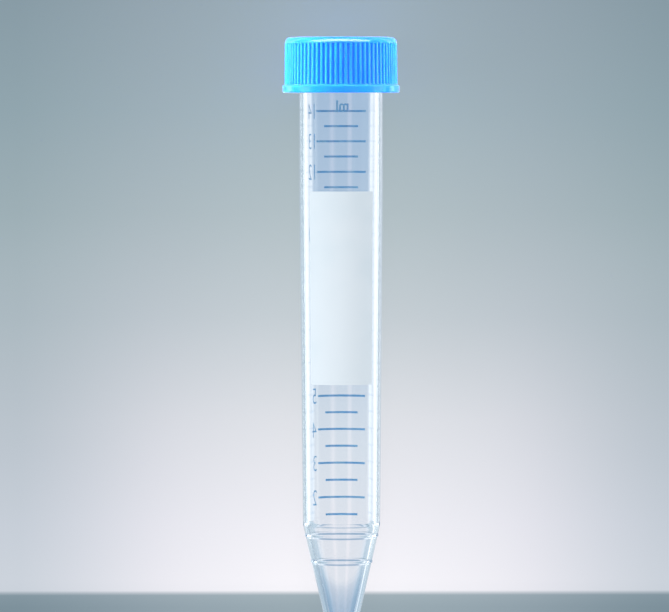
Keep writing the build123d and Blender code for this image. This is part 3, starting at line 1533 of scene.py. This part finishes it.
@dataclass
class Studio:
    """Pale floor, soft lamps, world light and the camera.

    The camera and the floor are sized in metres, and the painted shade in the near corners in
    millimetres.
    """

    cradle: Cradle
    cap_pieces: Sequence[bpy.types.Object]
    distance: float = 1.06
    level: float = 0.1064
    aim_level: float = 0.06626
    aim_across: float = -0.00136
    roll: float = -0.08
    lens: float = 285.2
    sensor: float = 36.0
    clip: tuple[float, float] = (0.05, 20.0)
    ambient: Colour = (0.84, 0.84, 0.86)
    beyond: Colour = (0.8, 0.83, 0.86)
    front: Colour = (0.3, 0.4, 0.55)
    front_edge: tuple[float, float] = (66.0, 72.0)
    seen_through: Colour = (1.25, 1.27, 1.3)
    floor_size: float = 3.0
    floor_drop: float = 0.00002
    floor_roughness: float = 0.9
    floor_glow: float = 0.8
    corner_away: tuple[float, float] = (28.0, 66.0)
    corner_height: tuple[float, float] = (80.0, 35.0)
    corner_tone: Colour = (0.87, 0.89, 0.91)

    def camera(self) -> None:
        """Hangs the camera over the lying tube."""
        data = bpy.data.cameras.new("view")
        camera = bpy.data.objects.new("view", data)
        bpy.context.scene.collection.objects.link(camera)
        data.lens, data.sensor_width = self.lens, self.sensor
        data.clip_start, data.clip_end = self.clip
        eye = self.cradle.place((0.0, -self.distance, self.level))
        target = self.cradle.place((self.aim_across, 0.0, self.aim_level))
        look = (target - eye).normalized()
        right = look.cross(self.cradle.along).normalized()
        turn = Matrix((right, right.cross(look), -look)).transposed().to_4x4()
        tilt = Matrix.Rotation(math.radians(self.roll), 4, "Z")
        camera.matrix_world = Matrix.Translation(eye) @ turn @ tilt
        bpy.context.scene.camera = camera

    def lights(self) -> None:
        """Hangs the lamps. They light the object, and the world stands for them in gloss."""
        cap_alone = bpy.data.collections.new("lit_with_the_cap")
        for piece in self.cap_pieces:
            cap_alone.objects.link(piece)
        for lamp in LAMPS:
            data = bpy.data.lights.new(lamp.name, "AREA")
            data.shape = "RECTANGLE"
            data.size, data.size_y = lamp.size
            data.energy = lamp.power
            hung = bpy.data.objects.new(lamp.name, data)
            bpy.context.scene.collection.objects.link(hung)
            place, aim = self.cradle.place(lamp.place), self.cradle.place((0.0, 0.0, lamp.aim))
            turn = (aim - place).to_track_quat("-Z", "Y").to_matrix().to_4x4()
            hung.matrix_world = Matrix.Translation(place) @ turn
            hung.visible_glossy = lamp.role is Role.SHEEN
            hung.visible_diffuse = lamp.role is not Role.SHEEN
            hung.visible_transmission = False
            if lamp.role is not Role.ROOM:
                hung.light_linking.receiver_collection = cap_alone

    def floor_tone(self, work: Wiring) -> bpy.types.NodeSocket:
        """Wires the floor's colour with painted shade: darker with height, away from the tube and
        most of all in the near corners.

        Args:
            work: the floor material's wiring.

        Returns:
            The colour.
        """
        place = work.parts(work.node("ShaderNodeTexCoord").outputs["Object"])
        height = work.math("MULTIPLY_ADD", place["Y"], 1.0 / MM, -self.cradle.tip.y / MM)
        away = work.math("ABSOLUTE", work.math("MULTIPLY", place["X"], 1.0 / MM))
        # Painted shade that darkens the floor in the near corners.
        near, low = work.steps(away, *self.corner_away), work.steps(height, *self.corner_height)
        corner = work.blend(work.math("MULTIPLY", near, low), WHITE, self.corner_tone)
        tone = work.product(FLOOR_TONES.at(work, height), SIDE_SHADE.at(work, away))
        return work.product(tone, corner)

    def floor(self) -> None:
        """Lays the pale floor that the tube lies on."""
        Bench.clear()
        bpy.ops.mesh.primitive_plane_add(size=self.floor_size, location=(0, 0, -self.floor_drop))
        floor = Bench.named(bpy.context.object, "floor")
        material = bpy.data.materials.new("pale_floor")
        material.use_nodes = True
        nodes, work = material.node_tree.nodes, Wiring(material.node_tree)
        tone = self.floor_tone(work)
        shader = nodes["Principled BSDF"]
        work.fill(shader, Base_Color=tone, Roughness=self.floor_roughness, Specular_IOR_Level=0.0)
        glow = work.flat("ShaderNodeEmission", tone)
        by_camera = work.node("ShaderNodeLightPath").outputs["Is Camera Ray"]
        share = work.math("MULTIPLY", by_camera, self.floor_glow)
        surface = work.mix_shaders(share, shader.outputs[0], glow)
        work.fill(nodes["Material Output"], Surface=surface)
        floor.data.materials.append(material)
        floor.visible_transmission = False
        floor.visible_glossy = False

    def world(self) -> None:
        """Lights the room evenly, and shows gloss and clear plastic the backdrop and soft boxes."""
        world = bpy.data.worlds.new("room")
        bpy.context.scene.world = world
        world.use_nodes = True
        world.node_tree.nodes.clear()
        work = Wiring(world.node_tree)
        way = work.node("ShaderNodeTexCoord").outputs["Generated"]
        across, under, along = (
            work.vector("DOT_PRODUCT", way, tuple(axis))
            for axis in (self.cradle.across, self.cradle.under, self.cradle.along)
        )
        turn = work.math("MULTIPLY", work.math("ARCTAN2", across, under), math.degrees(1.0))
        height = work.math("MULTIPLY_ADD", along, self.distance / MM, self.level / MM)
        in_front = work.steps(work.math("ABSOLUTE", turn), *self.front_edge)
        room = work.blend(in_front, BACKDROP_TONES.at(work, height), self.front)
        for box in BOXES:
            room = work.blend(box.mask(work, turn, along), room, box.colour)
        path = work.node("ShaderNodeLightPath").outputs
        through = path["Is Transmission Ray"]
        room = work.blend(through, room, work.vector("MINIMUM", room, self.seen_through))
        pale = work.blend(path["Is Camera Ray"], self.ambient, self.beyond)
        surface = work.mix_shaders(
            work.math("MAXIMUM", path["Is Glossy Ray"], through),
            work.flat("ShaderNodeBackground", pale),
            work.flat("ShaderNodeBackground", room),
        )
        work.fill(work.node("ShaderNodeOutputWorld"), Surface=surface)

    def build(self) -> None:
        """Sets up the camera, lamps, floor and world."""
        self.camera()
        self.lights()
        self.floor()
        self.world()
        bpy.context.scene.view_settings.view_transform = "Standard"


def main() -> None:
    """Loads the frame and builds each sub-assembly."""
    logging.basicConfig(level=logging.INFO, format="%(name)s: %(message)s")
    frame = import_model()
    sizes = TubeSizes()
    cradle = Cradle.from_record(frame["record"], sizes.cap_top)
    Studio(cradle, [frame["nodes"]["cap"], frame["nodes"]["cap_seal"]]).build()
    tube = ClearTube(cradle, sizes)
    wall = tube.build()
    printed = Printing(cradle, wall, sizes).build()
    tube.settle()
    made = [wall, *printed, *ScrewCap(frame["nodes"]).build()]
    for piece in made:
        LOG.info("%s: %d faces", piece.name, len(piece.data.polygons))


if __name__ == "__main__":
    main()
